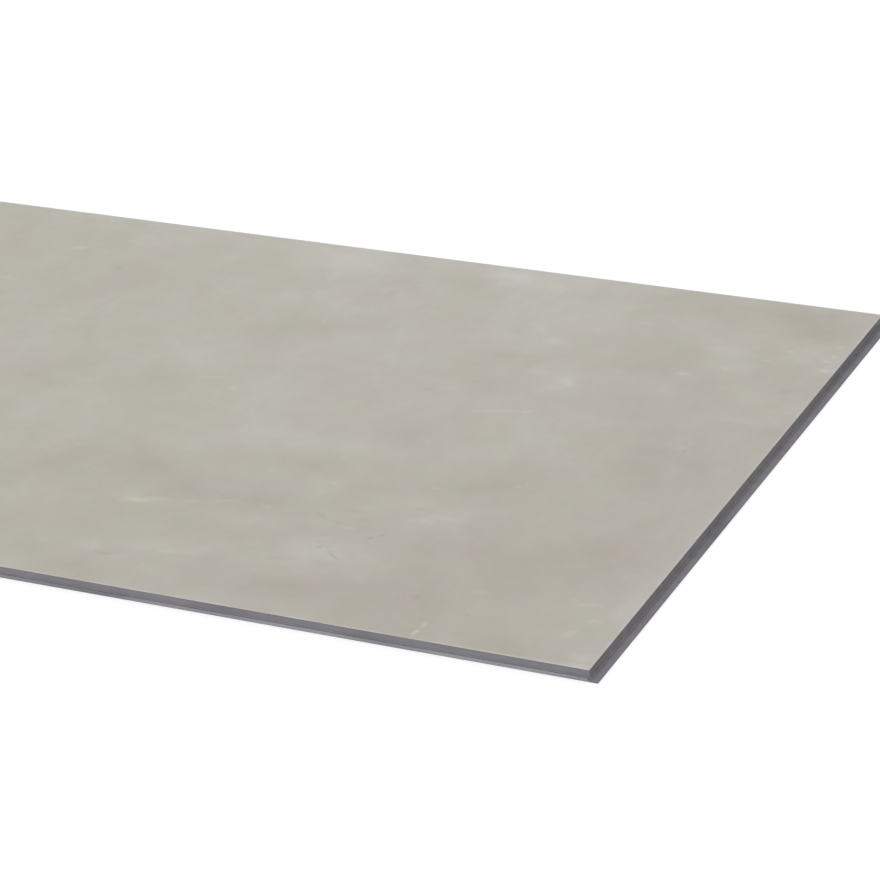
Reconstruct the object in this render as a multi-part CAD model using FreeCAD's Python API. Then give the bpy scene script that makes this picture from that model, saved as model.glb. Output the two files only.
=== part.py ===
"""One rigid vinyl floor tile with click edges, in millimetres.

The tile is one solid. A flat pressed sheet has its four edges milled. The near long edge (-Y) and the right short
edge (+X) carry a groove above a lower lip that ends in a locking bead. The far long edge (+Y) and the left short
edge (-X) carry the tongue and the notch that take them. The long edge has a stubby lip and is angled and snapped in.
The short edge has a long lip with a wide bead and is folded down.

The origin is the centre of the laying rectangle on the underside, +Z is up, and +X runs along the tile.
"""

import FreeCAD, Part
import math
import os
from dataclasses import dataclass

# Laying size, from joint face to joint face: the pitch at which tiles repeat on the floor.
LAYING_LENGTH = 610.0
LAYING_WIDTH = 305.0
THICKNESS = 4.5

# Micro-bevel all round the walking face.
BEVEL_RUN = 0.15
BEVEL_DROP = 0.1

# Arris taken off the lower edges by the last cutter.
LOWER_CHAMFER = 0.15

# Room between mated surfaces, and between a lip's end and the wall that it reaches.
FIT_CLEARANCE = 0.05
LIP_END_PLAY = 0.15


@dataclass(frozen=True)
class ClickProfile:
    """One click joint, seen along the edge. The groove sizes are nominal and the tongue is smaller by the fit."""

    upper_lip: float  # wall above the groove
    lower_lip: float  # wall below the groove
    groove_reach: float  # how far the groove goes in behind the joint face
    nose_radius: float  # round at the groove's upper inner corner and on the tongue's nose
    toe_run: float  # slope of the groove's lower inner corner, so that the tongue can swing in
    bead_foot: float  # where the bead's locking face starts, out from the joint face
    bead_lean: float  # run of the locking face
    bead_height: float  # rise of the bead above the groove's floor
    bead_round: float  # radius of the bead's outer shoulder
    lip_reach: float  # how far the lower lip stands out from the joint face

    def groove_outline(self):
        """Points (out, depth) of the groove edge, from the walking face to the underside.

        out is measured outwards from the joint face, depth down from the walking face. A step of two points is an
        arc's middle and end.
        """
        roof = self.upper_lip
        floor = THICKNESS - self.lower_lip
        bead_top = floor - self.bead_height
        back = -self.groove_reach
        nose_centre = (back + self.nose_radius, roof + self.nose_radius)
        shoulder_centre = (self.lip_reach - self.bead_round, bead_top + self.bead_round)
        return [
            (-BEVEL_RUN, 0.0),
            (0.0, BEVEL_DROP),
            (0.0, roof),
            (nose_centre[0], roof),
            (on_arc(nose_centre, self.nose_radius, -1, -1), (back, nose_centre[1])),
            (back + self.toe_run, floor),
            (self.bead_foot, floor),
            (self.bead_foot + self.bead_lean, bead_top),
            (shoulder_centre[0], bead_top),
            (on_arc(shoulder_centre, self.bead_round, 1, -1), (self.lip_reach, shoulder_centre[1])),
            (self.lip_reach, THICKNESS - LOWER_CHAMFER),
            (self.lip_reach - LOWER_CHAMFER, THICKNESS),
        ]

    def tongue_outline(self):
        """Points (out, depth) of the tongue edge, in the form of groove_outline.

        When two tiles are locked, out on this edge is minus out on the groove edge.
        """
        roof = self.upper_lip + FIT_CLEARANCE
        floor = THICKNESS - self.lower_lip - FIT_CLEARANCE
        notch_roof = floor - self.bead_height
        nose_end = self.groove_reach - FIT_CLEARANCE
        nose_centre = (nose_end - self.nose_radius, roof + self.nose_radius)
        notch_foot = FIT_CLEARANCE - self.bead_foot
        notch_wall = -(self.lip_reach + LIP_END_PLAY)
        return [
            (-BEVEL_RUN, 0.0),
            (0.0, BEVEL_DROP),
            (0.0, roof),
            (nose_centre[0], roof),
            (on_arc(nose_centre, self.nose_radius, 1, -1), (nose_end, nose_centre[1])),
            (nose_end - self.toe_run, floor),
            (notch_foot, floor),
            (notch_foot - self.bead_lean, notch_roof),
            (notch_wall, notch_roof),
            (notch_wall, THICKNESS - LOWER_CHAMFER),
            (notch_wall - LOWER_CHAMFER, THICKNESS),
        ]


LONG_EDGE = ClickProfile(
    upper_lip=2.85,
    lower_lip=1.15,
    groove_reach=0.6,
    nose_radius=0.2,
    toe_run=0.2,
    bead_foot=0.1,
    bead_lean=0.15,
    bead_height=0.25,
    bead_round=0.35,
    lip_reach=0.9,
)

SHORT_EDGE = ClickProfile(
    upper_lip=3.2,
    lower_lip=0.8,
    groove_reach=0.6,
    nose_radius=0.25,
    toe_run=0.2,
    bead_foot=1.3,
    bead_lean=0.25,
    bead_height=0.35,
    bead_round=0.3,
    lip_reach=3.5,
)


def on_arc(centre, radius, out_sign, depth_sign):
    """Middle of a quarter arc about centre, in the quadrant that the two signs name."""
    reach = radius * math.sqrt(0.5)
    return (centre[0] + out_sign * reach, centre[1] + depth_sign * reach)


def outline_edges(outline, point):
    """Lines and arcs through one edge's outline. point turns (out, depth) into a point in space."""
    edges = []
    last = point(outline[0])
    for step in outline[1:]:
        if isinstance(step[0], tuple):
            middle, end = point(step[0]), point(step[1])
            edges.append(Part.Arc(last, middle, end).toShape())
        else:
            end = point(step)
            edges.append(Part.LineSegment(last, end).toShape())
        last = end
    return edges


def section_face(profile, pitch, place):
    """The tile's whole section in one direction, with the tongue and the groove half a pitch either side.

    place turns (across, up) into a point in space, with the groove on the side where across is positive.
    """

    def groove_point(pair):
        return place(pitch / 2 + pair[0], THICKNESS - pair[1])

    def tongue_point(pair):
        return place(-pitch / 2 - pair[0], THICKNESS - pair[1])

    groove, tongue = profile.groove_outline(), profile.tongue_outline()
    edges = outline_edges(groove, groove_point) + outline_edges(tongue, tongue_point)
    for end in (0, -1):
        edges.append(Part.LineSegment(groove_point(groove[end]), tongue_point(tongue[end])).toShape())
    return Part.Face(Part.Wire(Part.__sortEdges__(edges)))


def milled_along_length():
    """The sheet with both long edges milled and its ends still rough."""
    overhang = SHORT_EDGE.lip_reach + SHORT_EDGE.groove_reach
    rough = LAYING_LENGTH + 2 * overhang
    face = section_face(LONG_EDGE, LAYING_WIDTH, lambda across, up: FreeCAD.Vector(-rough / 2, -across, up))
    return face.extrude(FreeCAD.Vector(rough, 0, 0))


def milled_across_width():
    """What the short-edge cutters leave between them, wider than the sheet."""
    overhang = LONG_EDGE.lip_reach + LONG_EDGE.groove_reach
    rough = LAYING_WIDTH + 2 * overhang
    face = section_face(SHORT_EDGE, LAYING_LENGTH, lambda across, up: FreeCAD.Vector(across, -rough / 2, up))
    return face.extrude(FreeCAD.Vector(0, rough, 0))


def build_tile():
    """The finished tile, which is what both passes leave standing."""
    return milled_along_length().common(milled_across_width())


def main():
    tile = build_tile()
    box = tile.BoundBox
    print(f"solids {len(tile.Solids)}, valid {tile.isValid()}, faces {len(tile.Faces)}")
    print(f"x {box.XMin:.2f} to {box.XMax:.2f}, y {box.YMin:.2f} to {box.YMax:.2f}, z {box.ZMin:.2f} to {box.ZMax:.2f}")
    print(f"volume {tile.Volume:.0f} mm3")
    os.makedirs("parts", exist_ok=True)
    tile.exportStep("parts/click_tile.step")


if __name__ == "__main__":
    main()
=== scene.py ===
"""Looks of one rigid vinyl click floor tile, lying face up on a plain white floor.

The tile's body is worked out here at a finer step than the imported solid: its click edges have smooth rounds
and its face has the shallow relief of a pressed stone print. It stands for the solid and keeps its box.
"""

import logging
import math
from collections.abc import Iterable
from dataclasses import dataclass
from enum import Enum, IntEnum
from typing import Any, ClassVar

import bmesh
import bpy
import numpy as np
from mathutils import Matrix, Vector


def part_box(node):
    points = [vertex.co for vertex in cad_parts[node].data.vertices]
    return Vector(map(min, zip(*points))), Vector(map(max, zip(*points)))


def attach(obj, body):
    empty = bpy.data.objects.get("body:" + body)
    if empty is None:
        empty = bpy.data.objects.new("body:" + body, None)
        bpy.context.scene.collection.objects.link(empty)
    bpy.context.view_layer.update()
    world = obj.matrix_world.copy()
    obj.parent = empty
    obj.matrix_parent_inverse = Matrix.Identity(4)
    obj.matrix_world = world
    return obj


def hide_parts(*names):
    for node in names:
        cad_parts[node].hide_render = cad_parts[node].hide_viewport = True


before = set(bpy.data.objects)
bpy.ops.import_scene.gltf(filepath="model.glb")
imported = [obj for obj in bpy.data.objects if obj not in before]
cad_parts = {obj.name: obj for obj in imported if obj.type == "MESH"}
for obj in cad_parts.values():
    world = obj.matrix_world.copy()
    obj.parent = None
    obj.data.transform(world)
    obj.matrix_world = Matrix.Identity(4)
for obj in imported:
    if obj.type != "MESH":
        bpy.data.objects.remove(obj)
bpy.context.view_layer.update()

NODE = "click_tile"
MM = 0.001
LOG = logging.getLogger("tile")
Tree = bpy.types.NodeTree
Socket = bpy.types.NodeSocket

# Value about which every noise swings.
MIDDLE = 0.5
# Radius of a soft area in height, in millimetres: so large that height makes no difference.
ANY_HEIGHT = 1e6
# What lies nearer than this to a plane, in millimetres, lies in it.
TOUCH = 1e-3
# Refraction of light by vinyl and by the clear coat on it.
VINYL_IOR = 1.5


def linear(hex_colour: str) -> tuple[float, float, float, float]:
    """Turns an sRGB hex colour into linear light.

    Args:
        hex_colour: six hex digits after a hash sign.

    Returns:
        Red, green, blue and an alpha of 1.
    """
    channels = [int(hex_colour[i : i + 2], 16) / 255 for i in (1, 3, 5)]
    light = [c / 12.92 if c <= 0.04045 else ((c + 0.055) / 1.055) ** 2.4 for c in channels]
    return (*light, 1.0)


def add_node(
    tree: Tree, kind: str, inputs: dict[int | str, Any] | None = None, out: int | None = 0, **settings: Any
) -> Any:
    """Adds one node, sets it up and links it.

    Most inputs go by number: 1 to 4 of a Map Range are the two ends that it reads and the two that it gives,
    1 to 3 of a Mapping are place, turn and size, and 6 and 7 of a Mix are its two colours, mixed at output 2.

    Args:
        tree: the node tree that gets it.
        kind: the node's type name.
        inputs: socket name or number to a constant, or to the output socket that feeds it.
        out: which output to hand back, or None for the node itself.
        settings: properties of the node itself.

    Returns:
        The chosen output socket, or the node.
    """
    made = tree.nodes.new(kind)
    for name, value in settings.items():
        setattr(made, name, value)
    for key, value in (inputs or {}).items():
        if isinstance(value, Socket):
            tree.links.new(value, made.inputs[key])
        else:
            made.inputs[key].default_value = value
    return made if out is None else made.outputs[out]


def colour_ramp(
    tree: Tree, value: Socket, stops: Iterable[tuple[float, str]], step: str = "LINEAR"
) -> Socket:
    """Turns a value into a colour through (place, hex colour) stops in rising order.

    Args:
        tree: the material's nodes.
        value: what is looked up, from 0 to 1.
        stops: at least two stops.
        step: how the ramp goes from stop to stop.

    Returns:
        The colour.
    """
    node = add_node(tree, "ShaderNodeValToRGB", {0: value}, None)
    node.color_ramp.interpolation = step
    stops = list(stops)
    while len(node.color_ramp.elements) < len(stops):
        node.color_ramp.elements.new(1.0)
    for element, (place, colour) in zip(node.color_ramp.elements, stops):
        element.position = place
        element.color = linear(colour)
    return node.outputs[0]


def new_material(name: str) -> tuple[bpy.types.Material, bpy.types.Node, Socket]:
    """Starts a vinyl material whose patterns are laid out in millimetres from the tile's origin.

    Args:
        name: the material's name.

    Returns:
        The material, its shader and the position in millimetres.
    """
    material = bpy.data.materials.new(name)
    material.use_nodes = True
    tree = material.node_tree
    place = add_node(tree, "ShaderNodeTexCoord", out=3)
    place = add_node(tree, "ShaderNodeVectorMath", {0: place, "Scale": 1 / MM}, operation="SCALE")
    shader = tree.nodes["Principled BSDF"]
    shader.inputs["IOR"].default_value = VINYL_IOR
    return material, shader, place


@dataclass(frozen=True)
class Noise:
    """Fractal noise of a finish, in millimetres.

    Its largest features are width across and length along X. octaves is how many finer layers it has, and
    roughness how strong each is against the one before. seed is the height at which it is sliced, which tells
    patterns apart.
    """

    width: float
    length: float
    octaves: float = 5.0
    seed: float = 0.0
    roughness: float = 0.6

    def add(self, tree: Tree, place: Socket, out: int = 0) -> Socket:
        """Adds the noise.

        Args:
            tree: the material's nodes.
            place: position in millimetres.
            out: 0 for a value, or 1 for a colour. Both swing about a half.

        Returns:
            The value or the colour.
        """
        laid_out = {0: place, 1: (0, 0, self.seed), 3: (self.length, self.width, self.width)}
        moved = add_node(tree, "ShaderNodeMapping", laid_out, vector_type="TEXTURE")
        layers = {"Vector": moved, "Scale": 1.0, "Detail": self.octaves, "Roughness": self.roughness}
        return add_node(tree, "ShaderNodeTexNoise", layers, out)


def pushed(tree: Tree, place: Socket, colour: Socket, reach: float) -> Socket:
    """Pushes a position about by reach times a noise colour less a half, which breaks up smooth outlines.

    Args:
        tree: the material's nodes.
        place: position in millimetres.
        colour: the noise colour.
        reach: how far a full step of the colour pushes, in millimetres.

    Returns:
        The new position.
    """
    centred = add_node(tree, "ShaderNodeVectorMath", {0: colour, 1: (MIDDLE,) * 3}, operation="SUBTRACT")
    terms = {0: centred, 1: (reach, reach, 0), 2: place}
    return add_node(tree, "ShaderNodeVectorMath", terms, operation="MULTIPLY_ADD")


def beyond(tree: Tree, place: Socket, half_size: tuple[float, float]) -> Socket:
    """Adds the distance out past a rectangle about the origin, which is below zero inside it.

    It is the larger of two: the position's size along X less half the length, and its size along Y less half
    the width.

    Args:
        tree: the material's nodes.
        place: position in millimetres.
        half_size: half the rectangle's length and width.

    Returns:
        The distance.
    """
    folded = add_node(tree, "ShaderNodeVectorMath", {0: place}, operation="ABSOLUTE")
    past = add_node(tree, "ShaderNodeVectorMath", {0: folded, 1: (*half_size, 0)}, operation="SUBTRACT")
    split = add_node(tree, "ShaderNodeSeparateXYZ", {0: past}, None).outputs
    return add_node(tree, "ShaderNodeMath", {0: split[0], 1: split[1]}, operation="MAXIMUM")


@dataclass(frozen=True)
class Cloud:
    """A soft lighter or darker area of a finish.

    x and y are its place, and long and wide its radii, in millimetres. turn is the long radius's angle from X
    in degrees, and tone how much lighter or darker it is.
    """

    falloff: ClassVar[str] = "QUADRATIC_SPHERE"
    x: float
    y: float
    long: float
    wide: float
    turn: float
    tone: float

    @classmethod
    def many(cls, *rows: tuple[float, ...]) -> tuple["Cloud", ...]:
        """Makes one area of each row of x, y, long, wide, turn and tone."""
        return tuple(cls(*row) for row in rows)

    def area(self, tree: Tree, place: Socket) -> Socket:
        """Adds a soft ellipse: one less the distance from its centre in radii, and 0 past its rim, squared.

        Args:
            tree: the material's nodes.
            place: position in millimetres.

        Returns:
            The ellipse's value, 1 at its centre.
        """
        radii = (self.long, self.wide, ANY_HEIGHT)
        laid_out = {0: place, 1: (self.x, self.y, 0), 2: (0, 0, math.radians(self.turn)), 3: radii}
        own = add_node(tree, "ShaderNodeMapping", laid_out, vector_type="TEXTURE")
        return add_node(tree, "ShaderNodeTexGradient", {0: own}, 1, gradient_type=self.falloff)


@dataclass(frozen=True)
class TrowelMark(Cloud):
    """A small stroke, chip or fleck of the print, with a firmer outline than a cloud."""

    falloff: ClassVar[str] = "SPHERICAL"

    def area(self, tree: Tree, place: Socket) -> Socket:
        """Adds the ellipse, not squared but with a smooth step from its rim to its centre."""
        cone = super().area(tree, place)
        return add_node(tree, "ShaderNodeMapRange", {0: cone}, interpolation_type="SMOOTHSTEP")


def with_areas(
    tree: Tree, place: Socket, areas: Iterable[Cloud], strength: float, start: float | Socket
) -> Socket:
    """Adds each soft area to a value: the area's own value times its tone times the strength.

    Args:
        tree: the material's nodes.
        place: position in millimetres.
        areas: the soft areas.
        strength: what a tone of 1 adds at an area's centre.
        start: the value that they are added to.

    Returns:
        The sum.
    """
    total = start
    for area in areas:
        terms = {0: area.area(tree, place), 1: area.tone * strength, 2: total}
        total = add_node(tree, "ShaderNodeMath", terms, operation="MULTIPLY_ADD")
    return total


class Side(Enum):
    """Which half of a click joint an edge carries."""

    GROOVE = "groove"
    TONGUE = "tongue"


class Surface(IntEnum):
    """Material slots of the tile's mesh, by the surface that they dress."""

    WALKING = 0
    MILLED = 1
    BACKING = 2
    GROOVE = 3
    NEAR_LIP = 4
    RIGHT_WALL = 5


@dataclass(frozen=True)
class ClickProfile:
    """One click joint seen along its edge, in millimetres.

    Groove sizes are nominal, and the fit is taken off the tongue. A point is given by how far it is out from
    the joint face, and by its depth below the walking face.
    """

    upper_lip: float
    lower_lip: float
    groove_reach: float
    nose_radius: float
    toe_run: float
    bead_foot: float
    bead_lean: float
    bead_height: float
    bead_round: float
    lip_reach: float
    fit: float = 0.05
    end_play: float = 0.15
    bevel_run: float = 0.15
    bevel_drop: float = 0.1
    chamfer: float = 0.15
    arc_steps: int = 6

    def reach(self, side: Side) -> float:
        """Returns how far the edge stands out past its joint face."""
        return self.lip_reach if side is Side.GROOVE else self.groove_reach - self.fit

    def in_groove(self, out: np.ndarray, depth: np.ndarray, thickness: float) -> np.ndarray:
        """Tells which points lie on the groove's walls or in the channel, up to the bead's top.

        Args:
            out: how far each point is out.
            depth: how deep it is.
            thickness: the tile's thickness.

        Returns:
            True for each such point.
        """
        floor = thickness - self.lower_lip
        across = (out > -self.groove_reach - TOUCH) & (out < self.bead_foot + self.bead_lean)
        return across & (depth > self.upper_lip - TOUCH) & (depth < floor + TOUCH)

    def on_lip(self, out: np.ndarray, depth: np.ndarray, thickness: float) -> np.ndarray:
        """Tells which points, given as to in_groove, lie on the lower lip's outer side or its shoulder."""
        bead_top = thickness - self.lower_lip - self.bead_height
        return (out > self.lip_reach - self.bead_round) & (depth > bead_top - TOUCH)

    def quarter_round(self, centre: tuple[float, float], radius: float, way: int) -> np.ndarray:
        """Samples a quarter round, from straight above its centre to one side.

        A point is the centre plus the radius times (way times sine, minus cosine) of an angle from 0 to 90
        degrees.

        Args:
            centre: (out, depth) of the round's centre.
            radius: its radius.
            way: 1 if it turns outwards from the tile, -1 if inwards.

        Returns:
            Rows of (out, depth).
        """
        angle = np.linspace(0, math.pi / 2, self.arc_steps + 1)
        return np.stack([centre[0] + way * radius * np.sin(angle), centre[1] - radius * np.cos(angle)], 1)

    def outline(self, side: Side, thickness: float, overrun: float = 0.0) -> np.ndarray:
        """Works out an edge from the walking face down to the underside.

        Args:
            side: groove or tongue.
            thickness: the tile's thickness.
            overrun: how many times its own size the bevel and the chamfer go on past the sheet.

        Returns:
            Rows of (out from the joint face, depth below the walking face).
        """
        groove = side is Side.GROOVE
        gap = 0.0 if groove else self.fit
        way = -1 if groove else 1
        roof = self.upper_lip + gap
        floor = thickness - self.lower_lip - gap
        bead_top = floor - self.bead_height
        nose = way * (self.groove_reach - gap)
        foot = gap - way * self.bead_foot
        end = self.lip_reach if groove else -(self.lip_reach + self.end_play)
        shoulder = [(end, bead_top)]
        if groove:
            centre = (end - self.bead_round, bead_top + self.bead_round)
            shoulder = self.quarter_round(centre, self.bead_round, 1)
        centre = (nose - way * self.nose_radius, roof + self.nose_radius)
        parts = (
            [(-self.bevel_run * (1 + overrun), -self.bevel_drop * overrun)],
            [(0.0, self.bevel_drop), (0.0, roof)],
            self.quarter_round(centre, self.nose_radius, way),
            [(nose - way * self.toe_run, floor), (foot, floor), (foot - way * self.bead_lean, bead_top)],
            shoulder,
            [(end, thickness - self.chamfer)],
            [(end - self.chamfer * (1 + overrun), thickness + self.chamfer * overrun)],
        )
        return np.concatenate([np.asarray(part, float) for part in parts])


LONG_EDGE = ClickProfile(
    upper_lip=2.85,
    lower_lip=1.15,
    groove_reach=0.6,
    nose_radius=0.2,
    toe_run=0.2,
    bead_foot=0.1,
    bead_lean=0.15,
    bead_height=0.25,
    bead_round=0.35,
    lip_reach=0.9,
)

SHORT_EDGE = ClickProfile(
    upper_lip=3.2,
    lower_lip=0.8,
    groove_reach=0.6,
    nose_radius=0.25,
    toe_run=0.2,
    bead_foot=1.3,
    bead_lean=0.25,
    bead_height=0.35,
    bead_round=0.3,
    lip_reach=3.5,
)


@dataclass
class TileBody:
    """The tile as one closed mesh: a sheet milled along both long edges, cut by the short-edge profile.

    Sizes are in millimetres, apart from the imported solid's box, which is in metres. relief_along is how fast
    the relief's waves follow each other along X, against across. margin is how far each rough shape goes past
    the other. face_up and face_down bound the upward part of the walking face's and the underside's normals.
    """

    low: Vector
    high: Vector
    grid: float = 2.0
    relief_depth: float = 0.05
    relief_waves: int = 48
    relief_lengths: tuple[float, float] = (9.0, 70.0)
    relief_along: float = 0.55
    relief_fade: float = 8.0
    relief_seed: int = 11
    cutter_overrun: float = 4.0
    margin: float = 6.0
    face_up: float = 0.3
    face_down: float = -0.9
    sharp_degrees: float = 22.0

    def __post_init__(self) -> None:
        """Finds the four joint faces and the thickness from the box."""
        self.thickness = (self.high.z - self.low.z) / MM
        self.right = self.high.x / MM - SHORT_EDGE.reach(Side.GROOVE)
        self.left = self.low.x / MM + SHORT_EDGE.reach(Side.TONGUE)
        self.near = self.low.y / MM + LONG_EDGE.reach(Side.GROOVE)
        self.far = self.high.y / MM - LONG_EDGE.reach(Side.TONGUE)
        self.half_size = ((self.right - self.left) / 2, (self.far - self.near) / 2)

    def section(
        self, profile: ClickProfile, groove: float, tongue: float, overrun: float, steps: int
    ) -> np.ndarray:
        """Works out the closed outline of the tile across one direction.

        It runs down the tongue edge, along the underside, up the groove edge and back over the walking face.

        Args:
            profile: the click joint.
            groove: where the groove's joint face is, across.
            tongue: where the tongue's joint face is.
            overrun: as in ClickProfile.outline.
            steps: how many spans the walking face is divided into.

        Returns:
            Rows of (across, height).
        """
        top = self.thickness
        way = math.copysign(1, groove - tongue)
        down = profile.outline(Side.TONGUE, top, overrun) * (-way, -1) + (tongue, top)
        up = profile.outline(Side.GROOVE, top, overrun)[::-1] * (way, -1) + (groove, top)
        share = np.linspace(0, 1, steps + 1)[1:-1, None]
        return np.concatenate([down, up, up[-1] * (1 - share) + down[0] * share])

    def relief(self, x: np.ndarray, y: np.ndarray) -> np.ndarray:
        """Works out the pressed relief's height at each point.

        It is the sum of sine waves of many lengths and directions, each as high as the square root of its
        length, scaled to the relief's depth, moved below zero, and faded out by a smooth step at the edges.

        Args:
            x: positions along the tile.
            y: positions across it.

        Returns:
            Heights, none above 0.
        """
        random = np.random.default_rng(self.relief_seed)
        shortest, longest = self.relief_lengths
        total = np.zeros_like(x)
        for length, heading, phase in random.random((self.relief_waves, 3)):
            wave = shortest * (longest / shortest) ** length
            turn = (heading - 0.5) * math.pi
            along = x * math.sin(turn) * self.relief_along + y * math.cos(turn)
            total += math.sqrt(wave) * np.sin(2 * math.pi * (along / wave + phase))
        total *= self.relief_depth / np.ptp(total)
        border = np.minimum.reduce([x - self.left, self.right - x, y - self.near, self.far - y])
        fade = np.clip(border / self.relief_fade, 0, 1)
        return (total - total.max()) * fade * fade * (3 - 2 * fade)

    @staticmethod
    def swept(name: str, outline: np.ndarray, stations: np.ndarray, along_x: bool) -> bpy.types.Object:
        """Carries an outline straight along X or Y and closes both ends.

        Point i of ring j is the outline's point i at station j, and the rings are joined by quads.

        Args:
            name: the new object's name.
            outline: rows of (across, height).
            stations: positions of the rings along the sweep.
            along_x: whether it goes along X.

        Returns:
            The object, in millimetres.
        """
        rings, points = len(stations), len(outline)
        along = np.repeat(stations, points)
        across = np.tile(outline[:, 0], rings)
        height = np.tile(outline[:, 1], rings)
        corners = np.stack([along, across, height] if along_x else [across, along, height], 1)
        ring, point = np.meshgrid(np.arange(rings - 1), np.arange(points), indexing="ij")
        first = (ring * points + point).ravel()
        second = (ring * points + (point + 1) % points).ravel()
        quads = np.stack([first, second, second + points, first + points], 1)
        caps = [list(range(points))[::-1], list(range((rings - 1) * points, rings * points))]
        mesh = bpy.data.meshes.new(name)
        mesh.from_pydata(corners.tolist(), [], quads.tolist() + caps)
        loops = bmesh.new()
        loops.from_mesh(mesh)
        bmesh.ops.recalc_face_normals(loops, faces=loops.faces)
        loops.to_mesh(mesh)
        loops.free()
        made = bpy.data.objects.new(name, mesh)
        bpy.context.scene.collection.objects.link(made)
        return made

    def sheet(self) -> bpy.types.Object:
        """Makes the sheet with both long edges milled, its ends rough and the relief on its face.

        Returns:
            The sheet, in millimetres.
        """
        steps = round((self.far - self.near) / self.grid)
        outline = self.section(LONG_EDGE, self.near, self.far, 0.0, steps)
        stations = np.arange(self.left - self.margin, self.right + self.margin + self.grid, self.grid)
        made = self.swept("sheet", outline, stations, True)
        corners = np.empty(len(made.data.vertices) * 3)
        made.data.vertices.foreach_get("co", corners)
        corners = corners.reshape(-1, 3)
        face = corners[:, 2] > self.thickness - TOUCH
        corners[face, 2] += self.relief(corners[face, 0], corners[face, 1])
        made.data.vertices.foreach_set("co", corners.ravel())
        return made

    def cutter(self) -> bpy.types.Object:
        """Makes the block that the short-edge cutters leave between them. Its bevels run on past the sheet.

        Returns:
            The block, in millimetres.
        """
        outline = self.section(SHORT_EDGE, self.right, self.left, self.cutter_overrun, 1)
        ends = np.array([self.near - self.margin, self.far + self.margin])
        return self.swept("cutter", outline, ends, False)

    def dress(self, mesh: bpy.types.Mesh) -> None:
        """Gives each face its material slot and smooths the rounds.

        Args:
            mesh: the finished mesh, in millimetres.
        """
        count = len(mesh.polygons)
        normal, centre = np.empty(count * 3), np.empty(count * 3)
        mesh.polygons.foreach_get("normal", normal)
        mesh.polygons.foreach_get("center", centre)
        up, (along, across, height) = normal.reshape(-1, 3)[:, 2], centre.reshape(-1, 3).T
        depth, near_out, right_out = self.thickness - height, self.near - across, along - self.right
        slots = np.full(count, int(Surface.MILLED), np.int32)
        slots[(up > self.face_up) & (depth < LONG_EDGE.bevel_drop)] = Surface.WALKING
        slots[(up < self.face_down) & (height < TOUCH)] = Surface.BACKING
        slots[LONG_EDGE.in_groove(near_out, depth, self.thickness)] = Surface.GROOVE
        slots[SHORT_EDGE.in_groove(right_out, depth, self.thickness)] = Surface.GROOVE
        slots[LONG_EDGE.on_lip(near_out, depth, self.thickness) & (right_out < 0)] = Surface.NEAR_LIP
        slots[(np.abs(right_out) < TOUCH) & (depth > SHORT_EDGE.bevel_drop)] = Surface.RIGHT_WALL
        mesh.polygons.foreach_set("material_index", slots)
        mesh.polygons.foreach_set("use_smooth", np.ones(count, bool))
        mesh.set_sharp_from_angle(angle=math.radians(self.sharp_degrees))

    def build(self, materials: dict[Surface, bpy.types.Material]) -> bpy.types.Object:
        """Cuts the sheet to length, dresses it and moves it to metres.

        Args:
            materials: the finish of each surface.

        Returns:
            The tile.
        """
        sheet, cutter = self.sheet(), self.cutter()
        cut = sheet.modifiers.new("cut_to_length", "BOOLEAN")
        cut.operation, cut.solver, cut.object = "INTERSECT", "EXACT", cutter
        graph = bpy.context.evaluated_depsgraph_get()
        mesh = bpy.data.meshes.new_from_object(sheet.evaluated_get(graph))
        for rough in (sheet, cutter):
            bpy.data.objects.remove(rough)
        mesh.materials.clear()
        for surface in Surface:
            mesh.materials.append(materials[surface])
        self.dress(mesh)
        mesh.transform(Matrix.Scale(MM, 4))
        mesh.name = "finished_tile"
        tile = bpy.data.objects.new("finished_tile", mesh)
        bpy.context.scene.collection.objects.link(tile)
        LOG.info("finished_tile: %d faces on %d corners", len(mesh.polygons), len(mesh.vertices))
        return tile


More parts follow.
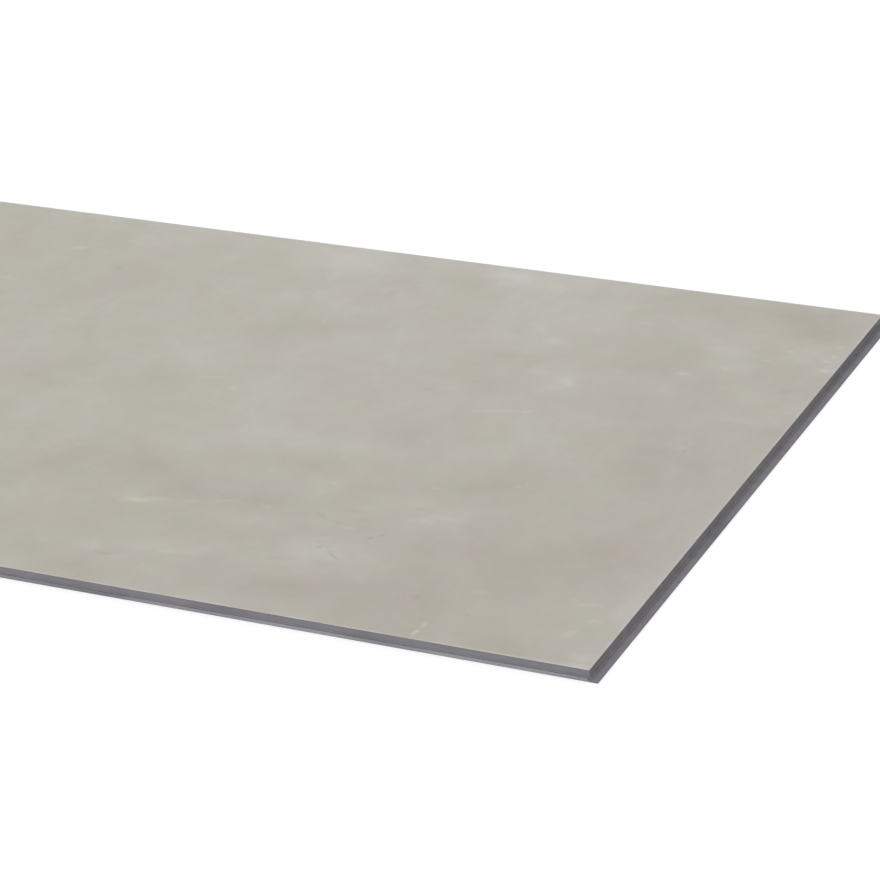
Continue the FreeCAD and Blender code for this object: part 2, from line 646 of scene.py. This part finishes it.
# The lists are laid out one by one over the seen part, and freely over the rest.
CLOUDS = Cloud.many(
    (105, 55, 170, 110, -10, 0.25), (100, 95, 130, 50, -8, 0.25), (85, 76, 60, 22, 0, -0.3),
    (70, 138, 60, 36, 0, 0.5), (60, 142, 34, 20, 0, 0.5), (143, 144, 50, 18, 0, 0.55),
    (140, 142, 110, 26, 0, 0.45), (0, 150, 300, 22, 0, 0.25), (170, 118, 56, 34, 0, 0.45),
    (-32, 30, 60, 60, 0, 0.18), (200, 52, 32, 30, 0, 0.4), (200, 100, 32, 28, 0, 0.4),
    (300, 52, 16, 26, 0, 0.4), (98, 12, 42, 32, 0, 0.35), (-52, 146, 64, 26, 0, 0.45),
    (165, -5, 42, 36, 0, -0.45), (-100, 125, 26, 26, 0, -0.3), (172, -86, 26, 34, 0, -0.3),
    (255, 8, 46, 40, 0, -0.3), (222, -26, 36, 26, 0, -0.35), (60, 64, 60, 34, 0, -0.22),
    (98, 78, 36, 44, 0, -0.22), (225, 74, 26, 22, 0, -0.22), (292, -45, 26, 30, 0, -0.25),
    (188, -125, 60, 30, 0, -0.22), (178, 146, 34, 18, 0, 0.35), (-48, 148, 40, 14, 0, -0.4),
    (-25, 118, 40, 40, 0, 0.28), (300, 100, 20, 26, 0, 0.35), (50, 28, 80, 30, 0, 0.3),
    (125, -22, 34, 20, 0, 0.3), (77, 105, 40, 14, -55, 0.3), (100, -20, 36, 26, 20, 0.4),
    (212, 15, 26, 50, 12, 0.45), (0, -24, 30, 18, 10, 0.25), (180, 95, 50, 40, 0, 0.22),
    (290, 108, 24, 24, 0, 0.5), (285, 45, 34, 9, 0, 0.45), (267, 86, 16, 14, -40, 0.4),
    (252, 102, 24, 12, 0, 0.4), (172, -103, 30, 24, 20, 0.65), (200, -70, 22, 14, 40, 0.38),
    (110, -122, 50, 12, 10, 0.35), (300, -108, 12, 50, 0, 0.5), (252, -90, 88, 84, 0, -0.45),
    (220, -148, 80, 18, 0, -0.4), (170, -134, 66, 24, 0, -0.45), (85, -98, 60, 20, 0, -0.3),
    (24, -78, 44, 30, 0, -0.3), (140, -42, 50, 24, 5, -0.45), (280, -70, 24, 50, 0, -0.5),
    (225, -130, 44, 34, 0, -0.35), (275, 12, 34, 36, 0, -0.35), (70, -62, 80, 34, -8, -0.5),
    (132, -74, 62, 20, 9, -0.55), (132, -102, 40, 18, 9, -0.4), (280, -25, 36, 50, 0, -0.2),
    (300, 40, 14, 60, 0, -0.4), (285, 128, 36, 18, 0, -0.35), (240, 132, 40, 26, 0, -0.35),
    (270, -150, 30, 20, 0, -0.5), (205, -42, 30, 20, 0, -0.35), (222, 90, 34, 40, 0, -0.3),
    (170, 45, 30, 16, 0, -0.35), (168, 74, 24, 8, 0, -0.3), (278, 140, 30, 20, 0, -0.6),
    (235, 76, 16, 16, 0, -0.25), (65, -138, 18, 10, 0, -0.4), (-28, 100, 46, 30, 10, -0.15),
    (35, 50, 44, 26, 0, 0.2), (212, -92, 34, 26, 0, -0.2), (85, -146, 50, 12, 0, -0.25),
    (175, -148, 24, 10, 0, 0.25), (70, -28, 20, 16, 0, -0.2), (-60, 126, 34, 18, 0, -0.2),
    (100, 124, 16, 12, 0, -0.2), (-150, -40, 84, 46, 14, 0.4), (-205, 88, 70, 44, -20, -0.45),
    (-262, -92, 58, 44, 30, 0.35), (-120, -118, 70, 22, -6, -0.45), (-110, 118, 60, 20, 12, 0.35),
    (-280, 20, 30, 60, 0, -0.35),
)

MARKS = TrowelMark.many(
    (83, -88.6, 8, 4.4, 17, 1.05), (91, -86.6, 11, 3.2, 17, 0.6), (74, -88, 6, 2, 5, 0.4),
    (98, -132, 9, 1.8, 14, 0.45), (87, -126, 6, 1.6, -60, 0.3), (116, -122, 7, 1.2, 12, 0.45),
    (113, -135, 6, 1.6, -65, 0.35), (106, -83, 5, 1.2, 14, 0.7), (119, -79, 7, 1.2, 20, 0.8),
    (137, -78, 3, 2.4, 0, 0.6), (161, -78, 6, 2.2, -30, -0.5), (168, -82, 5, 2, -25, -0.45),
    (178, -77, 4, 3, 0, -0.35), (171, -101, 3, 1.4, 60, -0.9), (174, -100, 3, 1.3, -20, -0.8),
    (179, -105, 6, 1.3, -43, -0.9), (169, -94, 5, 2, 30, 0.45), (160, -114, 6, 1.6, 10, -0.5),
    (187, -89, 3, 1, 15, -0.8), (190, -86, 3, 1, 70, -0.6), (176, -84, 3, 1.8, 0, 0.6),
    (170, -71, 7, 2.4, 8, -0.35), (195, -62, 3, 2, 0, -0.5), (199, -70, 9, 3.4, 6, 0.35),
    (193, -45, 4, 1.2, 10, 0.5), (208, -66, 9, 2.4, 10, 0.5), (223, -34, 2.4, 2, 0, 0.6),
    (226, -31, 1.6, 2.4, 0, 0.6), (153, -53, 2.6, 1.8, 0, 0.7), (150, -60, 3, 1, 10, 0.5),
    (125, -121, 10, 2.5, 10, 0.4), (87, -128, 10, 6, -40, 0.3), (94, -131, 5, 2, 0, -0.4),
    (234, -148, 4, 1.8, 84, 1.6), (235, -142, 3.4, 1.8, 84, 1.1), (223, -124, 4, 3, 0, -0.4),
    (247, -130, 3, 2, 0, -0.6), (244, -114, 4, 3, 0, 0.5), (286, -110, 7, 3, 0, 0.6),
    (280, -108, 3, 2, 0, 0.4), (293, -121, 4, 2.4, 0, 0.6), (288, -131, 3, 4, 0, 0.6),
    (299, -145, 8, 4, 0, 0.5), (301, -151, 8, 3.4, 0, 0.8), (164, 138, 8, 6, -40, 0.5),
    (212, 117, 8, 1.6, 0, 0.4), (172, 99, 10, 4, -40, 0.45), (184, 90, 9, 5, -30, 0.4),
    (149, 82, 4, 4, 0, 0.4), (190, 61, 8, 5, -15, 0.45), (204, 56, 9, 4, -25, 0.6),
    (186, 23, 16, 1.6, 17, 0.6), (199, 26, 5, 2.4, 10, 0.6), (247, 76, 5, 2, 0, 1.1),
    (262, 86, 5, 5, 0, 0.4), (267, 108, 3, 2.6, 0, 0.6), (281, 109, 3, 2.4, 0, 0.5),
    (275, 98, 4, 1.6, 0, 0.6), (299, 118, 3, 4, 0, 0.6), (300, 109, 2.4, 2.4, 0, 0.8),
    (298, 104, 2.6, 2, 0, 0.8), (301, 96, 5, 2.6, 0, 0.9), (292, 74, 5, 4, 0, -0.55),
    (271, 16, 2.4, 2.4, 0, 0.5), (274, 13, 2, 2, 0, -0.5), (152, 33, 4, 1.6, 0, -0.4),
    (74, 10, 3, 2, 0, 0.6), (62, 17, 9, 1.6, 10, 0.4), (64, 122, 5, 8, 0, 0.55), (81, 79, 3, 4, 0, 0.5),
    (96, 113, 4, 6, 0, -0.4), (-62, 117, 6, 2.6, 20, 0.6), (-41, 129, 10, 1.6, -10, 0.4),
    (-35, 102, 4, 5, 0, -0.4), (-16, -5, 5, 4, 0, -0.35), (-77, 80, 5, 5, 0, 0.35),
    (-170, 30, 30, 2.6, 16, 0.6), (-240, -60, 22, 2.4, -12, 0.7), (-205, 132, 14, 3.4, 6, 0.6),
    (-128, -72, 9, 1, 40, -0.8), (-222, 40, 5, 3, 0, 0.6), (-262, 104, 4, 4, 0, 0.5),
    (-150, -128, 6, 1.6, 12, -0.6),
)

# Patches along the edges where the cut is darker.
EDGE_DARK_PATCHES = Cloud.many(
    (84, -153.8, 80, 1.8, 0, -0.45), (105, -153.8, 20, 1.8, 0, -0.35), (230, -153.8, 26, 1.8, 0, -0.3),
    (308, -40, 2.5, 28, 0, -0.4), (306, 130, 12, 90, 0, -0.14), (-40, -153.8, 50, 1.8, 0, -0.35),
    (-190, -153.8, 24, 1.8, 0, -0.3), (120, 153, 50, 2.5, 0, -0.16), (-180, 153, 70, 2.5, 0, -0.18),
    (-306, 40, 2.5, 50, 0, -0.18),
)


@dataclass(frozen=True)
class StonePrint:
    """Printed film under a clear wear layer, pressed against a textured plate, with a matt polyurethane coat.

    The film gives a low-contrast trowelled stone, pale blue-grey clouds over warm beige. Its dye drifts from
    olive to rose along the tile. The coat is matt, so the light lies on it as a soft sheen with no clear
    reflection. A painted highlight along the rim stands for the light that the rolled bevel catches. A range
    is the pair of values over which a noise takes its effect.
    """

    half_size: tuple[float, float]
    stops: tuple[tuple[float, str], ...] = ((0.0, "#A49D8D"), (0.5, "#B7B3A9"), (1.0, "#CAC9C6"))
    # The clouds' noise, on a place that the swirl pushes about, and the grit's, on the true place.
    swirl: Noise = Noise(60, 90, 4, 400)
    swirl_reach: float = 24.0
    broad: Noise = Noise(80, 110, 3)
    broad_share: float = 0.30
    mottle: Noise = Noise(26, 20, 6, 130)
    mottle_share: float = 0.42
    grit: Noise = Noise(6.5, 4.5, 4, 250)
    grit_share: float = 0.14
    # Clouds and marks are torn by this noise, each by its own reach.
    tear: Noise = Noise(7, 10, 4, 70)
    cloud_reach: float = 16.0
    cloud_strength: float = 0.36
    mark_reach: float = 6.0
    mark_strength: float = 0.18
    # Flecks lie where the flecked noise is high. Their range is counted from the middle, both up and down.
    speckle: Noise = Noise(2.6, 4.4, 2, 810)
    speckle_range: tuple[float, float] = (0.14, 0.22)
    fleck_step: float = 0.06
    flecked: Noise = Noise(34, 40, 3, 860)
    flecked_range: tuple[float, float] = (0.52, 0.64)
    # The dye's hue follows two noises and a drift, which is what half the tile's length adds.
    olive: str = "#FCFFF8"
    rose: str = "#FEFAFE"
    hue: Noise = Noise(60, 80, 5, 610)
    blotch: Noise = Noise(16, 18, 3, 655)
    hue_drift: float = 0.25
    hue_range: tuple[float, float] = (0.60, 1.60)
    # The rim's painted highlight, which stands for the light that the rolled bevel catches, is at full
    # strength over rim_flat of its width.
    rim: str = "#C2C2C8"
    rim_width: float = 1.3
    rim_flat: float = 1 / 3
    rim_highlight_patch: Noise = Noise(8, 12, 3, 730)
    rim_highlight_range: tuple[float, float] = (0.44, 0.60)
    rim_highlight_strength: tuple[float, float] = (0.20, 0.68)
    press: Noise = Noise(4, 10, 5, 900)
    press_depth: float = 0.02
    sheen: Noise = Noise(9, 16, 5, 330)
    sheen_range: tuple[float, float] = (0.3, 0.7)
    roughness: tuple[float, float] = (0.47, 0.58)

    def tone(self, tree: Tree, place: Socket, tear: Socket) -> Socket:
        """Sums the noise and the clouds about a middle tone of a half.

        Args:
            tree: the material's nodes.
            place: position in millimetres.
            tear: fine noise colour that breaks up the clouds.

        Returns:
            The tone, from 0 for dark to 1 for light.
        """
        drifted = pushed(tree, place, self.swirl.add(tree, place, 1), self.swirl_reach)
        layers = (
            (self.broad.add(tree, drifted), self.broad_share),
            (self.mottle.add(tree, drifted), self.mottle_share),
            (self.grit.add(tree, place), self.grit_share),
        )
        total = MIDDLE
        for value, share in layers:
            centred = add_node(tree, "ShaderNodeMath", {0: value, 1: MIDDLE}, operation="SUBTRACT")
            terms = {0: centred, 1: share, 2: total}
            total = add_node(tree, "ShaderNodeMath", terms, operation="MULTIPLY_ADD")
        torn = pushed(tree, drifted, tear, self.cloud_reach)
        return with_areas(tree, torn, CLOUDS, self.cloud_strength, total)

    def shade(self, tree: Tree, place: Socket, tear: Socket) -> Socket:
        """Sums the marks and the flecks about 1. They lighten or darken the stone and leave its hue.

        A fleck is where a fine noise comes near its highest or lowest, and flecks keep to parts of the print.

        Args:
            tree: the material's nodes.
            place: position in millimetres.
            tear: fine noise colour that breaks up the marks.

        Returns:
            What the stone's colour is multiplied by.
        """
        total = with_areas(tree, pushed(tree, place, tear, self.mark_reach), MARKS, self.mark_strength, 1.0)
        speckle = self.speckle.add(tree, place)
        start, full = self.flecked_range
        part = add_node(tree, "ShaderNodeMapRange", {0: self.flecked.add(tree, place), 1: start, 2: full})
        start, full = self.speckle_range
        for way in (1, -1):
            limits = {0: speckle, 1: MIDDLE + way * start, 2: MIDDLE + way * full, 4: way * self.fleck_step}
            fleck = add_node(tree, "ShaderNodeMapRange", limits)
            terms = {0: fleck, 1: part, 2: total}
            total = add_node(tree, "ShaderNodeMath", terms, operation="MULTIPLY_ADD")
        return total

    def rim_highlight_share(self, tree: Tree, place: Socket) -> Socket:
        """Adds how strong the painted highlight along the rim is: it rises towards the edge, and comes and
        goes along it with a noise.

        Args:
            tree: the material's nodes.
            place: position in millimetres.

        Returns:
            The share of the painted highlight's colour, from 0 to 1.
        """
        out = beyond(tree, place, self.half_size)
        limits = {0: out, 1: -self.rim_width, 2: -self.rim_width * self.rim_flat}
        rise = add_node(tree, "ShaderNodeMapRange", limits)
        (start, full), (least, most) = self.rim_highlight_range, self.rim_highlight_strength
        limits = {0: self.rim_highlight_patch.add(tree, place), 1: start, 2: full, 3: least, 4: most}
        patch = add_node(tree, "ShaderNodeMapRange", limits)
        return add_node(tree, "ShaderNodeMath", {0: rise, 1: patch}, operation="MULTIPLY")

    def tint(self, tree: Tree, place: Socket) -> Socket:
        """Adds the dye's hue, from olive to rose by a smooth step of the sum of two noises and the drift.

        Args:
            tree: the material's nodes.
            place: position in millimetres.

        Returns:
            The colour that the stone's is multiplied by.
        """
        along = add_node(tree, "ShaderNodeSeparateXYZ", {0: place}, 0)
        terms = {0: along, 1: self.hue_drift / self.half_size[0], 2: self.hue.add(tree, place)}
        hue = add_node(tree, "ShaderNodeMath", terms, operation="MULTIPLY_ADD")
        hue = add_node(tree, "ShaderNodeMath", {0: self.blotch.add(tree, place), 1: hue}, operation="ADD")
        start, full = self.hue_range
        limits = {0: hue, 1: start, 2: full}
        hue = add_node(tree, "ShaderNodeMapRange", limits, interpolation_type="SMOOTHSTEP")
        colours = {0: hue, 6: linear(self.olive), 7: linear(self.rose)}
        return add_node(tree, "ShaderNodeMix", colours, 2, data_type="RGBA")

    def build(self) -> bpy.types.Material:
        """Makes the walking face's material.

        Returns:
            The material.
        """
        material, shader, place = new_material("matt_coated_stone_print")
        tree = material.node_tree
        tear = self.tear.add(tree, place, 1)
        stone = colour_ramp(tree, self.tone(tree, place, tear), self.stops)
        shade = self.shade(tree, place, tear)
        stone = add_node(tree, "ShaderNodeVectorMath", {0: stone, "Scale": shade}, operation="SCALE")
        colours = {0: 1.0, 6: stone, 7: self.tint(tree, place)}
        colour = add_node(tree, "ShaderNodeMix", colours, 2, data_type="RGBA", blend_type="MULTIPLY")
        # Mixes in the painted highlight along the rim.
        colours = {0: self.rim_highlight_share(tree, place), 6: colour, 7: linear(self.rim)}
        colour = add_node(tree, "ShaderNodeMix", colours, 2, data_type="RGBA")
        tree.links.new(colour, shader.inputs["Base Color"])
        press = {"Height": self.press.add(tree, place), "Distance": self.press_depth * MM, "Strength": 1.0}
        tree.links.new(add_node(tree, "ShaderNodeBump", press), shader.inputs["Normal"])
        (start, full), (least, most) = self.sheen_range, self.roughness
        limits = {0: self.sheen.add(tree, place), 1: start, 2: full, 3: least, 4: most}
        tree.links.new(add_node(tree, "ShaderNodeMapRange", limits), shader.inputs["Roughness"])
        return material


@dataclass(frozen=True)
class MilledCore:
    """Vinyl filled with ground limestone, cut by a milling cutter.

    It is a dull blue-grey with paler mineral grains and the faint upright ripples of the cutter's teeth. The
    film and the layer that it is pressed on show as a darker line under the walking face, and the cut is
    darker in patches here and there along the edges. layers gives the depth below that face at which each
    colour starts. A shade is the whole span from dark to light that a noise gives over noise_range.
    """

    thickness: float
    name: str = "milled_limestone_filled_vinyl"
    layers: tuple[tuple[float, str], ...] = ((0.0, "#757274"), (0.6, "#7A787E"), (4.1, "#767479"))
    step: str = "CONSTANT"
    # Real mineral grains are under 0.1 mm, too fine to show, so these are five times as coarse.
    grain: Noise = Noise(0.5, 0.5, 3, 40)
    grain_shade: float = 0.22
    smear: Noise = Noise(5, 22, 5, 90)
    smear_shade: float = 0.30
    noise_range: tuple[float, float] = (0.25, 0.75)
    # The ripples are the cutter's tooth marks. A grain lifts the surface by grain_lift of their half height.
    ripple_pitch: float = 0.9
    ripple_depth: float = 0.012
    grain_lift: float = 2.0
    roughness: float = 0.62

    def cut_colour(self, tree: Tree, place: Socket) -> Socket:
        """Looks the colour up by the depth below the walking face.

        Args:
            tree: the material's nodes.
            place: position in millimetres.

        Returns:
            The colour, before its grain.
        """
        height = add_node(tree, "ShaderNodeSeparateXYZ", {0: place}, 2)
        rise = {0: height, 1: -1 / self.thickness, 2: 1.0}
        depth = add_node(tree, "ShaderNodeMath", rise, operation="MULTIPLY_ADD")
        stops = [(start / self.thickness, colour) for start, colour in self.layers]
        return colour_ramp(tree, depth, stops, self.step)

    def build(self) -> bpy.types.Material:
        """Makes the material.

        Returns:
            The material.
        """
        material, shader, place = new_material(self.name)
        tree = material.node_tree
        colour = self.cut_colour(tree, place)
        grain = self.grain.add(tree, place)
        smear = self.smear.add(tree, place)
        low, high = self.noise_range
        for value, shade in ((grain, self.grain_shade), (smear, self.smear_shade)):
            limits = {0: value, 1: low, 2: high, 3: 1 - shade / 2, 4: 1 + shade / 2}
            scale = add_node(tree, "ShaderNodeMapRange", limits)
            colour = add_node(tree, "ShaderNodeVectorMath", {0: colour, "Scale": scale}, operation="SCALE")
        # Darker in patches along the edges.
        scale = with_areas(tree, place, EDGE_DARK_PATCHES, 1.0, 1.0)
        colour = add_node(tree, "ShaderNodeVectorMath", {0: colour, "Scale": scale}, operation="SCALE")
        tree.links.new(colour, shader.inputs["Base Color"])
        # A point on one edge moves only along X or only along Y, so their sum runs along every edge.
        split = add_node(tree, "ShaderNodeSeparateXYZ", {0: place}, None).outputs
        along = add_node(tree, "ShaderNodeMath", {0: split[0], 1: split[1]}, operation="ADD")
        turn = {0: along, 1: 2 * math.pi / self.ripple_pitch}
        angle = add_node(tree, "ShaderNodeMath", turn, operation="MULTIPLY")
        ripple = add_node(tree, "ShaderNodeMath", {0: angle}, operation="SINE")
        terms = {0: grain, 1: self.grain_lift, 2: ripple}
        height = add_node(tree, "ShaderNodeMath", terms, operation="MULTIPLY_ADD")
        bump = {"Height": height, "Distance": self.ripple_depth / 2 * MM, "Strength": 1.0}
        tree.links.new(add_node(tree, "ShaderNodeBump", bump), shader.inputs["Normal"])
        shader.inputs["Roughness"].default_value = self.roughness
        return material


@dataclass(frozen=True)
class GrooveWithPaintedLight(MilledCore):
    """The same cut inside the grooves, made paler with painted light.

    The painted light is full up to the first of two distances out from the nearer joint face and fades to
    nothing at the second, so that the hollow looks paler than its shade would leave it.
    """

    name: str = "groove_painted_light_vinyl"
    half_size: tuple[float, float] = (305.0, 152.5)
    # Colour of the painted light that lifts the grooves' shade.
    groove_light_colour: str = "#A09EA2"
    light_full_to: float = 0.0
    light_gone_at: float = 0.5

    def cut_colour(self, tree: Tree, place: Socket) -> Socket:
        """Mixes the painted light over the cut by the distance out from the nearer joint face.

        Args:
            tree: the material's nodes.
            place: position in millimetres.

        Returns:
            The colour, before its grain.
        """
        # Painted light over the groove's shade: full inside the joint face, fading out past it.
        out = beyond(tree, place, self.half_size)
        limits = {0: out, 1: self.light_full_to, 2: self.light_gone_at, 3: 1.0, 4: 0.0}
        share = add_node(tree, "ShaderNodeMapRange", limits)
        colours = {0: share, 6: super().cut_colour(tree, place), 7: linear(self.groove_light_colour)}
        return add_node(tree, "ShaderNodeMix", colours, 2, data_type="RGBA")


@dataclass(frozen=True)
class WallWithPaintedLight(MilledCore):
    """The same cut on the right joint face, whose foot is paler, as painted light against the shade there."""

    name: str = "painted_light_foot_milled_vinyl"
    # Paler towards the foot: painted light against the shade that the lower lip leaves there.
    layers: tuple[tuple[float, str], ...] = ((0.0, "#757270"), (0.9, "#767374"), (3.2, "#8B898B"))
    step: str = "LINEAR"


@dataclass(frozen=True)
class PaleLip(MilledCore):
    """The same cut on the near lip's outer side, a shade paler than the rest of the cut."""

    name: str = "pale_lip_milled_vinyl"
    layers: tuple[tuple[float, str], ...] = ((0.0, "#8A888D"), (3.4, "#8F8D92"))


@dataclass(frozen=True)
class PressedBacking:
    """Underside of the balancing layer, calendered and pressed on a plate with a fine diamond pattern.

    It is a plain grey whose dull low ridges catch the light as a regular net, and painted shade makes its
    hollows a shade darker.
    """

    colour: str = "#7F7D80"
    light_colour: str = "#8C8A8C"
    patch: Noise = Noise(30, 60, 7, 20)
    patch_range: tuple[float, float] = (0.3, 0.7)
    # A real net's pitch of 2 to 3 mm blurs away when the whole tile is seen, so this is twice as coarse.
    pitch: float = 5.6
    depth: float = 0.12
    # How much darker the painted shade makes the net's hollows.
    hollow_painted_shade: float = 0.14
    roughness: float = 0.58

    def build(self) -> bpy.types.Material:
        """Makes the underside's material.

        The net's depth is the product of the sizes of two sines, of the sum and of the difference of X and Y.

        Returns:
            The material.
        """
        material, shader, place = new_material("pressed_vinyl_backing")
        tree = material.node_tree
        split = add_node(tree, "ShaderNodeSeparateXYZ", {0: place}, None).outputs
        ridges = []
        for kind in ("ADD", "SUBTRACT"):
            across = add_node(tree, "ShaderNodeMath", {0: split[0], 1: split[1]}, operation=kind)
            turn = {0: across, 1: math.pi / self.pitch}
            angle = add_node(tree, "ShaderNodeMath", turn, operation="MULTIPLY")
            wave = add_node(tree, "ShaderNodeMath", {0: angle}, operation="SINE")
            ridges.append(add_node(tree, "ShaderNodeMath", {0: wave}, operation="ABSOLUTE"))
        net = add_node(tree, "ShaderNodeMath", {0: ridges[0], 1: ridges[1]}, operation="MULTIPLY")
        bump = {"Height": net, "Distance": self.depth * MM, "Strength": 1.0}
        tree.links.new(add_node(tree, "ShaderNodeBump", bump, invert=True), shader.inputs["Normal"])
        stops = zip(self.patch_range, (self.colour, self.light_colour))
        colour = colour_ramp(tree, self.patch.add(tree, place), stops)
        # Painted shade in the net's hollows.
        scale = add_node(tree, "ShaderNodeMapRange", {0: net, 3: 1.0, 4: 1 - self.hollow_painted_shade})
        colour = add_node(tree, "ShaderNodeVectorMath", {0: colour, "Scale": scale}, operation="SCALE")
        tree.links.new(colour, shader.inputs["Base Color"])
        shader.inputs["Roughness"].default_value = self.roughness
        return material


@dataclass(frozen=True)
class Lamp:
    """A large soft light so far off that it is even over the whole tile.

    spread is how wide it looks from the tile, in degrees, and strength is in watts per square metre.
    """

    name: str
    place: tuple[float, float, float]
    spread: float
    strength: float

    def build(self) -> None:
        """Adds the light, shining towards the tile."""
        light = bpy.data.lights.new(self.name, "SUN")
        light.angle = math.radians(self.spread)
        light.energy = self.strength
        made = bpy.data.objects.new(self.name, light)
        made.location = self.place
        made.rotation_euler = (-Vector(self.place)).to_track_quat("-Z", "Y").to_euler()
        bpy.context.scene.collection.objects.link(made)


@dataclass(frozen=True)
class Studio:
    """A white floor and surround, soft lamps and the camera at the photograph's viewing angle.

    Places and the floor are in metres, and the camera's angles in degrees.
    """

    sky: float = 0.7
    floor_half: float = 14.0
    floor_grey: str = "#CBCBCB"
    floor_roughness: float = 0.9
    floor_glow: float = 0.5
    lamps: tuple[Lamp, ...] = (
        Lamp("key", (-0.1, -3.6, 2.1), 24.0, 1.15),
        Lamp("fill", (-1.8, 1.6, 2.0), 60.0, 0.12),
    )
    camera_place: tuple[float, float, float] = (0.79543, -1.1794, 0.6745)
    camera_pitch: float = 26.811
    camera_yaw: float = 27.822
    camera_roll: float = -4.794
    focal_pixels: float = 3742.8
    image_pixels: int = 880
    sensor: float = 36.0
    farthest_seen: float = 56.0

    @staticmethod
    def seen_directly(tree: Tree) -> Socket:
        """Adds a value that is 1 for camera, glossy and transmission rays, and otherwise 0.

        Args:
            tree: the nodes of a material or of the world.

        Returns:
            The value.
        """
        rays = add_node(tree, "ShaderNodeLightPath", out=None).outputs
        seen = rays["Is Camera Ray"]
        for kind in ("Is Glossy Ray", "Is Transmission Ray"):
            seen = add_node(tree, "ShaderNodeMath", {0: seen, 1: rays[kind]}, operation="MAXIMUM")
        return seen

    def build_surround(self) -> None:
        """Makes the world plain white where it is seen, and a dimmer even light where it shines."""
        world = bpy.data.worlds.new("white_surround")
        bpy.context.scene.world = world
        world.use_nodes = True
        tree = world.node_tree
        background = tree.nodes["Background"]
        background.inputs["Color"].default_value = (1, 1, 1, 1)
        limits = {0: self.seen_directly(tree), 3: self.sky, 4: 1.0}
        tree.links.new(add_node(tree, "ShaderNodeMapRange", limits), background.inputs["Strength"])

    def build_floor(self) -> None:
        """Lays the floor. It keeps the tile's shadow, and glows a little where it is seen, to look white."""
        half = self.floor_half
        corners = [(-half, -half, 0), (half, -half, 0), (half, half, 0), (-half, half, 0)]
        mesh = bpy.data.meshes.new("studio_floor")
        mesh.from_pydata(corners, [], [(0, 1, 2, 3)])
        material = bpy.data.materials.new("white_paper_sweep")
        material.use_nodes = True
        tree = material.node_tree
        shader = tree.nodes["Principled BSDF"]
        shader.inputs["Base Color"].default_value = linear(self.floor_grey)
        shader.inputs["Roughness"].default_value = self.floor_roughness
        shader.inputs["Specular IOR Level"].default_value = 0.0
        shader.inputs["Emission Color"].default_value = (1, 1, 1, 1)
        glow = {0: self.seen_directly(tree), 1: self.floor_glow}
        glow = add_node(tree, "ShaderNodeMath", glow, operation="MULTIPLY")
        tree.links.new(glow, shader.inputs["Emission Strength"])
        mesh.materials.append(material)
        floor = bpy.data.objects.new("studio_floor", mesh)
        bpy.context.scene.collection.objects.link(floor)

    def build_camera(self) -> None:
        """Places the camera.

        Its forward axis is +Y turned left by the yaw about Z and dipped by the pitch, and the picture is then
        rolled about it. The lens is the focal length in pixels times the sensor over the picture's width.
        """
        turned = Matrix.Rotation(math.radians(self.camera_yaw), 3, "Z")
        dipped = Matrix.Rotation(math.radians(90 - self.camera_pitch), 3, "X")
        rolled = Matrix.Rotation(math.radians(self.camera_roll), 3, "Z")
        data = bpy.data.cameras.new("camera")
        data.sensor_width = self.sensor
        data.lens = self.focal_pixels / self.image_pixels * self.sensor
        data.clip_end = self.farthest_seen
        camera = bpy.data.objects.new("camera", data)
        camera.matrix_world = Matrix.Translation(self.camera_place) @ (turned @ dipped @ rolled).to_4x4()
        bpy.context.scene.collection.objects.link(camera)
        bpy.context.scene.camera = camera

    def build(self) -> None:
        """Builds the whole studio."""
        bpy.context.scene.view_settings.view_transform = "Standard"
        self.build_surround()
        self.build_floor()
        for lamp in self.lamps:
            lamp.build()
        self.build_camera()
        LOG.info("studio: %d lamps", len(self.lamps))


def main() -> None:
    """Builds the tile and the studio."""
    logging.basicConfig(level=logging.INFO, format="%(name)s %(message)s")
    body = TileBody(*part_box(NODE))
    materials = {
        Surface.WALKING: StonePrint(body.half_size).build(),
        Surface.MILLED: MilledCore(body.thickness).build(),
        Surface.GROOVE: GrooveWithPaintedLight(body.thickness, half_size=body.half_size).build(),
        Surface.NEAR_LIP: PaleLip(body.thickness).build(),
        Surface.RIGHT_WALL: WallWithPaintedLight(body.thickness).build(),
        Surface.BACKING: PressedBacking().build(),
    }
    tile = body.build(materials)
    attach(tile, "root")
    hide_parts(NODE)
    Studio().build()


if __name__ == "__main__":
    main()
